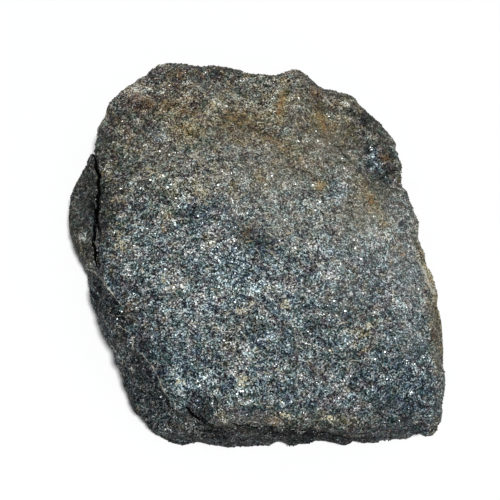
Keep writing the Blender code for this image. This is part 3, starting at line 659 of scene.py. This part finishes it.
def oreSurface(name, coarseFrom=None):  # coarseFrom names the colour that each loose grain carries
    look = oreLook
    material = bpy.data.materials.new(name)
    material.use_nodes = True
    net = Net(material.node_tree)
    place = net.wire("ShaderNodeTexCoord", out="Object")
    drawn = net.wire("ShaderNodeMapping", None, {
        "Vector": place, "Rotation": (0.0, 0.0, math.radians(-look["grainTurn"])),
        "Scale": (look["grainStretch"], 1.0, 1.0)})
    fine = net.cells(place, look["fineGrain"])
    coarse = net.field(coarseFrom, "Color") if coarseFrom else net.cells(place, look["coarseGrain"])
    fineTone, fineHue, fineOdd = net.parts(fine)
    coarseTone, coarseHue, coarseOdd = net.parts(coarse)
    clumps = net.noise(drawn, look["clumpSize"], 3.0)
    patches = net.noise(place, look["patchSize"], 3.0)
    drift = net.noise(place, look["driftSize"])
    casts = net.noise(net.shifted(place, look["castShift"]), look["castSize"])
    warm, rust, shade, worn, flank = [net.field(key) for key in ("warm", "rust", "shade", "worn", "flank")]

    # how light each grain is, with painted shade and painted highlights from the shade field and painted
    # shade on the flank
    tone = swing(fineTone) * (look["fineTone"] - look["warmTone"] * warm) + coarseTone * look["coarseTone"]
    tone = tone + swing(clumps) * (look["clumpTone"] + look["hacklyTone"] * net.field("hackly"))
    tone = tone + swing(patches) * look["patchTone"] + shade * look["shadeTone"]
    tone = tone - flank * look["flankShadeDrop"] + look["baseTone"]
    grey = net.ramp(tone, look["toneStops"])

    # its hue, which the lightest grains lose, and a violet or green cast on the dark ones
    hue = fineHue * look["fineHue"] + coarseHue * look["coarseHue"] + swing(drift) * look["driftHue"]
    hue = hue + swing(patches) * look["patchHue"] + warm * look["warmHue"] + look["baseHue"]
    colour = net.tinted(grey, net.ramp(hue, look["tints"]))
    cream = net.tinted(grey, look["creamTint"])
    colour = net.mix(net.step(tone, *look["creamFrom"]) * look["creamShare"], colour, cream)
    leaning = net.step(casts - look["violetPull"] * net.field("violet"), *look["castFrom"])
    cast = net.tinted(colour, net.mix(leaning, look["violetTint"], look["greenTint"]))
    colour = net.mix(net.fall(tone, *look["castTones"]), colour, cast)

    # dust and stains
    dusty = net.field("dust") * look["dustCover"]
    dusty = dusty * net.step(fineOdd * look["dustOdds"] + clumps, *look["dustFrom"])
    dusty = dusty * net.fall(0.0 - shade, *look["dustLost"])
    dust = net.scaled(look["dustTone"], look["dustLow"] + look["dustSpread"] * fineTone)
    colour = net.mix(dusty, colour, dust)
    browned = warm * (1.0 - look["brownLost"] * net.step(tone, *look["brownTones"]))
    colour = net.mix(browned, colour, net.tinted(colour, look["brownTint"]))
    colour = net.mix(net.field("ochre"), colour, net.tinted(colour, look["ochreTint"]))
    tanned = net.field("tan") * look["tanShare"] + fineOdd * look["tanOdds"] + clumps * look["tanClumps"]
    colour = net.mix(net.step(tanned, *look["tanFrom"]), colour, look["tanTone"])
    rusted = rust * look["rustShare"] + (swing(clumps) + swing(fineOdd)) * look["rustOdds"]
    rustTone = net.mix(look["rustGrain"], look["rustTone"], colour)
    colour = net.mix(net.step(rusted, *look["rustFrom"]), colour, rustTone)

    # painted shade on the flank, and the worn shelf
    colour = net.mix(flank * look["flankShadeShare"], colour, look["flankShadeTone"])
    colour = net.mix(worn * look["wornCover"], colour, look["wornTone"])
    wornDark = worn * (look["wornDark"] - net.step(shade, *look["wornFrom"]) * look["wornBright"])
    colour = net.scaled(colour, 1.0 - wornDark)

    # fibres, veins, and painted shadow in the cracks
    wander = swing(net.noise(place, look["wanderSize"])) * look["wander"]
    vein = net.fall(net.absolute(net.field("vein") + wander), *look["veinEdge"]) * net.field("lined")
    vein = vein * (look["veinLeast"] + (1.0 - look["veinLeast"]) * net.step(clumps, *look["veinFrom"]))
    crack = net.field("crack") + wander * look["crackWander"]
    crack = net.fall(net.absolute(crack), *look["crackEdge"]) * net.field("split")
    threads = threadsAt(net, drawn, look["threadSize"], look["threadEdge"])
    threads = threads * net.step(casts, *look["threadFrom"])
    crossed = threadsAt(net, net.shifted(place, look["crossShift"]), look["crossSize"], look["crossEdge"])
    crossed = crossed * net.step(drift, *look["threadFrom"])
    threads = net.sum("MAXIMUM", threads, crossed) * net.field("fibrous") * (1.0 - flank)
    thread = net.scaled(look["threadTone"], look["threadLow"] + look["threadSpread"] * fineTone)
    colour = net.mix(threads * look["threadCover"], colour, thread)
    colour = net.mix(vein * look["veinCover"], colour, look["veinTone"])
    colour = net.mix(crack * look["crackShadowCover"], colour, look["crackShadowTone"])

    # glints, gloss and the lean of each grain's face
    glint = net.step(fineOdd * look["glintFine"] + coarseOdd * look["glintCoarse"], *look["glintFrom"])
    glint = glint * (1.0 - crack) * (1.0 - worn) * (1.0 - rust) * net.step(clumps, *look["glintClumps"])
    colour = net.mix(glint * look["glintCover"], colour, look["glintTone"])
    leans = [net.scaled(net.shifted(cells, (-0.5, -0.5, -0.5)), 2 * look[key])
             for cells, key in ((fine, "fineLean"), (coarse, "coarseLean"))]
    lean = net.scaled(net.vector("ADD", *leans), 1.0 - look["wornLean"] * worn)
    normal = net.wire("ShaderNodeNewGeometry", out="Normal")
    roughness = look["gloss"] + (look["dull"] - look["gloss"]) * (1.0 - glint) + look["crackDull"] * crack
    ore = net.wire("ShaderNodeBsdfPrincipled", None, {
        "Base Color": colour, "Roughness": roughness, "Metallic": glint * look["glintMetal"],
        "IOR": look["bend"], "Specular IOR Level": look["sheen"],
        "Normal": net.vector("NORMALIZE", net.vector("ADD", normal, lean))})
    # a black surface without sheen, painted as shadow in the cracks and between the flank's darkest grains
    paintedShadow = net.wire("ShaderNodeBsdfPrincipled", None, {
        "Base Color": look["shadowTone"], "Roughness": 1.0, "Specular IOR Level": 0.0})
    shadowed = flank * net.fall(tone, *look["flankShadowTones"]) * look["flankShadowShare"]
    shadowed = net.sum("MAXIMUM", crack * look["crackShadowCover"], shadowed)
    both = net.wire("ShaderNodeMixShader", None, {0: shadowed, 1: ore, 2: paintedShadow})
    net.place("ShaderNodeOutputMaterial", None, {"Surface": both})
    return material


sliverLook = {
    "creamTone": (0.50, 0.44, 0.26), "paleTone": (0.60, 0.61, 0.53),
    "soilTone": (0.16, 0.14, 0.10), "soilSize": 0.8 * mm, "soilCover": 0.5,
    "toneLow": 0.5, "toneSpread": 0.8, "glossLow": 0.35, "glossSpread": 0.3, "sheen": 0.4,
}


def sliverSurface(name):  # pale fibres of silicate, each with a tone of its own
    look = sliverLook
    material = bpy.data.materials.new(name)
    material.use_nodes = True
    net = Net(material.node_tree)
    tone, hue, odd = net.parts(net.field("grain", "Color"))
    soil = net.noise(net.wire("ShaderNodeTexCoord", out="Object"), look["soilSize"])
    colour = net.mix(hue, look["creamTone"], look["paleTone"])
    colour = net.mix(soil * look["soilCover"], colour, look["soilTone"])
    fibre = net.wire("ShaderNodeBsdfPrincipled", None, {
        "Base Color": net.scaled(colour, look["toneLow"] + look["toneSpread"] * tone),
        "Roughness": look["glossLow"] + look["glossSpread"] * odd, "Specular IOR Level": look["sheen"]})
    net.place("ShaderNodeOutputMaterial", None, {"Surface": fibre})
    return material


# Loose grains stand on the skin: dark ore crystals, pale fibres and small flecks between them.
grainKinds = {
    "ore_grains": {
        "corners": 4, "density": 0.58, "size": 0.46 * mm, "spread": 0.35, "sunk": 0.30, "seed": 11},
    "ore_slivers": {
        "corners": 3, "density": 0.22, "size": 1.3 * mm, "spread": 0.7, "sunk": -0.05, "seed": 53},
    "ore_flecks": {
        "corners": 5, "density": 0.36, "size": 0.30 * mm, "spread": 0.35, "sunk": 0.20, "seed": 29},
}
grainShape = {
    "wornShare": 0.9,                        # how many grains the worn places lose
    "carveLimit": (0.2 * mm, 0.6 * mm),      # no grain stands in a crack
    "crackRoom": (4.0, 6.0),                 # slivers stay this many half widths away from one
    "thinnest": (0.75, 0.75, 0.75), "fattest": (1.25, 1.25, 1.25),
    "sliverShape": (1.0, 0.10, 0.09), "sliverTurn": (-1.4, 0.4),
}


def grainTree(name, material, corners, lying):
    net = Net(bpy.data.node_groups.new(name, "GeometryNodeTree"))
    asked = net.open(("Density", "Size", "Spread", "Sunk"), ("Seed",))
    room = 1.0 - net.field("calm")
    if lying:
        room = net.field("fibrous") * room
    room = room * (1.0 - grainShape["wornShare"] * net.field("worn"))
    room = room * net.fall(net.field("carve"), *grainShape["carveLimit"])
    if lying:
        room = room * net.step(net.absolute(net.field("crack")), *grainShape["crackRoom"])
    spread = net.place("GeometryNodeDistributePointsOnFaces", {"distribute_method": "RANDOM"}, {
        "Mesh": asked["Geometry"], "Density": asked["Density"] * room, "Seed": asked["Seed"]})
    normals = Wire(net, spread.outputs["Normal"])

    def chance(kind, low, high, shift):  # a draw of its own for each grain
        node = net.place("FunctionNodeRandomValue", {"data_type": kind}, {"Seed": asked["Seed"] + shift})
        lowest, highest = [socket for socket in node.inputs if socket.enabled][:2]
        lowest.default_value, highest.default_value = low, high
        return Wire(net, [socket for socket in node.outputs if socket.enabled][0])

    points = net.wire("GeometryNodeStoreNamedAttribute", {"data_type": "FLOAT_VECTOR", "domain": "POINT"}, {
        "Geometry": Wire(net, spread.outputs["Points"]), "Name": "grain",
        "Value": chance("FLOAT_VECTOR", (0.0, 0.0, 0.0), (1.0, 1.0, 1.0), 1)})
    points = net.wire("GeometryNodeSetPosition", None, {
        "Geometry": points, "Offset": net.scaled(normals, asked["Size"] * asked["Sunk"] * -1.0)})
    crystal = net.wire("GeometryNodeMeshUVSphere", None, {"Segments": corners, "Rings": 2, "Radius": 1.0})
    size = asked["Size"] * (1.0 + asked["Spread"] * chance("FLOAT", -1.0, 1.0, 3))
    if lying:  # slivers lie flat on the skin, mostly along one direction
        shape = grainShape["sliverShape"]
        flat = net.wire("FunctionNodeAlignRotationToVector", {"axis": "Z"}, {"Vector": normals})
        spin = net.wire("FunctionNodeAxisAngleToRotation", None, {
            "Axis": (0.0, 0.0, 1.0), "Angle": chance("FLOAT", *grainShape["sliverTurn"], 5)})
        turn = net.wire("FunctionNodeRotateRotation", {"rotation_space": "LOCAL"}, {0: flat, 1: spin})
    else:
        shape = chance("FLOAT_VECTOR", grainShape["thinnest"], grainShape["fattest"], 2)
        turn = chance("FLOAT_VECTOR", (0.0, 0.0, 0.0), (math.tau, math.tau, math.tau), 4)
    grains = net.wire("GeometryNodeInstanceOnPoints", None, {
        "Points": points, "Instance": crystal, "Rotation": turn, "Scale": net.scaled(shape, size)})
    grains = net.wire("GeometryNodeRealizeInstances", None, {"Geometry": grains})
    grains = net.wire("GeometryNodeSetShadeSmooth", None, {"Geometry": grains, "Shade Smooth": False})
    return net.close(net.wire("GeometryNodeSetMaterial", None, {"Geometry": grains, "Material": material}))


def makeGrains(body, name):
    kind = grainKinds[name]
    lying = name == "ore_slivers"
    material = sliverSurface(name) if lying else oreSurface(name, "grain")
    grains = addObject(name, body.data.copy())
    addNodes(grains, grainTree(name, material, kind["corners"], lying), {
        "Density": kind["density"] / mm ** 2, "Size": kind["size"], "Spread": kind["spread"],
        "Sunk": kind["sunk"], "Seed": kind["seed"]})
    grains.data = baked(grains)
    keepInBox(grains.data)
    print("stage:", name, len(grains.data.polygons), "faces")
    return grains


studio = {
    "floorSize": 12.0, "floorTone": (0.76, 0.76, 0.76), "floorRoughness": 0.9,
    "keyRight": 0.16, "keyUp": 0.12, "keyReach": 6.0, "keySize": 0.78, "keyPower": 432.0,
    "skyTone": (0.95, 0.98, 1.0), "skyPower": 0.16,
    "lens": 85, "sensor": 36, "shift": (-0.0021, -0.0066), "clip": 0.01,
}


def aim(obj, place, target):
    obj.location = place
    obj.rotation_euler = (Vector(target) - Vector(place)).to_track_quat("-Z", "Y").to_euler()


def makeFloor():
    half = studio["floorSize"] / 2
    mesh = bpy.data.meshes.new("floor")
    corners = [(-half, -half, 0), (half, -half, 0), (half, half, 0), (-half, half, 0)]
    mesh.from_pydata(corners, [], [(0, 1, 2, 3)])
    material = bpy.data.materials.new("paleFloor")
    material.use_nodes = True
    shader = material.node_tree.nodes["Principled BSDF"]
    shader.inputs["Base Color"].default_value = (*studio["floorTone"], 1)
    shader.inputs["Roughness"].default_value = studio["floorRoughness"]
    mesh.materials.append(material)
    floor = addObject("floor", mesh)


def makeLights():
    key = addObject("keyLight", bpy.data.lights.new("keyLight", "AREA"))
    key.data.shape, key.data.size, key.data.energy = "DISK", studio["keySize"], studio["keyPower"]
    toward, upward = drawingAxes()
    line = toward + np.array((studio["keyRight"], 0, 0)) + upward * studio["keyUp"]
    aim(key, line / np.linalg.norm(line) * studio["keyReach"], drawing["middle"])
    world = bpy.data.worlds.new("studio")
    bpy.context.scene.world = world
    world.use_nodes = True
    sky = world.node_tree.nodes["Background"]
    sky.inputs["Color"].default_value = (*studio["skyTone"], 1)
    sky.inputs["Strength"].default_value = studio["skyPower"]


def makeCamera():
    camera = addObject("camera", bpy.data.cameras.new("camera"))
    camera.data.lens, camera.data.sensor_width = studio["lens"], studio["sensor"]
    camera.data.shift_x, camera.data.shift_y = studio["shift"]
    camera.data.clip_start = studio["clip"]
    middle = np.array(drawing["middle"])
    aim(camera, middle + drawingAxes()[0] * drawing["reach"], middle)
    bpy.context.scene.camera = camera


bpy.context.scene.view_settings.view_transform = "Standard"
body = makeBody()
paintFields(body.data)
pieces = [body] + [makeGrains(body, name) for name in grainKinds]
body.data.materials.clear()
body.data.materials.append(oreSurface("oreSurface"))
body.data.shade_smooth()
for piece in pieces:
    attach(piece, "root")
    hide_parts("chromite_ore")
makeFloor()
makeLights()
makeCamera()
